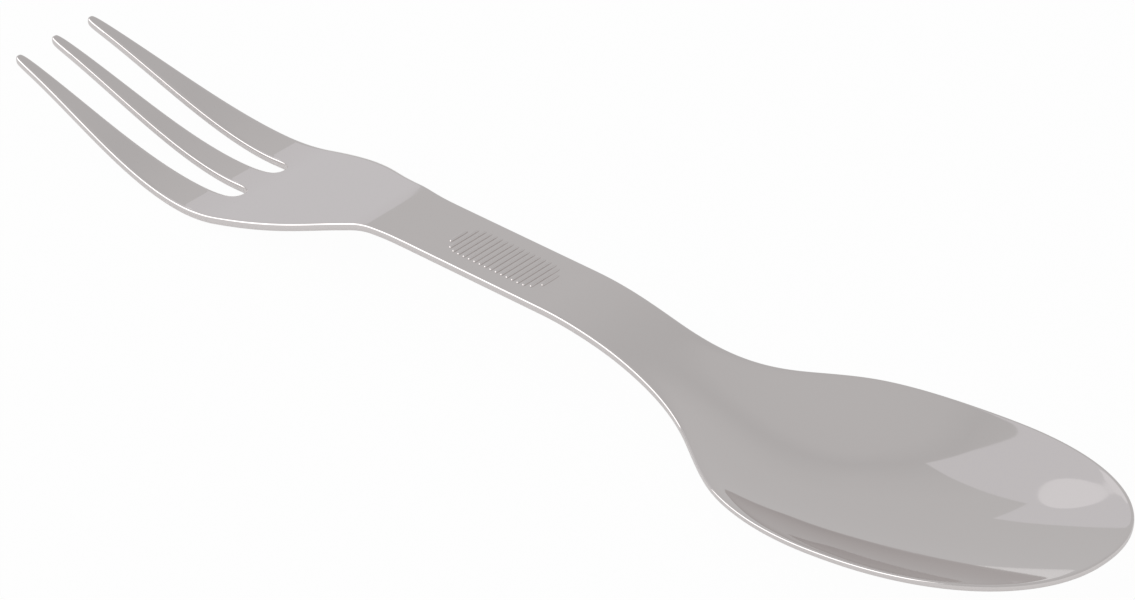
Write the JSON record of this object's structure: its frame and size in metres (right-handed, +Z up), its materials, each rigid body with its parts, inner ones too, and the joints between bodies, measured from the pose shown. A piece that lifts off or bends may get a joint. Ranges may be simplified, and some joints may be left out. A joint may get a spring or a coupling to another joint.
{
  "type": "spork",
  "caption": "Double-ended steel spork: slotted fork tines at the front, a flat handle with a ribbed thumb pad, and an oval spoon bowl at the back, in a mirror polish.",
  "frame": {"origin": "on the table, below the middle of the spork's length and width", "axes": "+X along the spork from the fork tips to the tip of the spoon, +Y across it to the far tine's side, +Z up from the table"},
  "size_m": [0.201, 0.0404, 0.0122],
  "materials": {
    "polished_steel": "mirror-polished stainless steel, not plated"
  },
  "bodies": {
    "root": {"near_tine": "polished_steel", "middle_tine": "polished_steel", "far_tine": "polished_steel", "fork_palm": "polished_steel", "handle": "polished_steel", "thumb_ribs": "polished_steel", "spoon_neck": "polished_steel", "spoon_bowl": "polished_steel"}
  },
  "joints": []
}
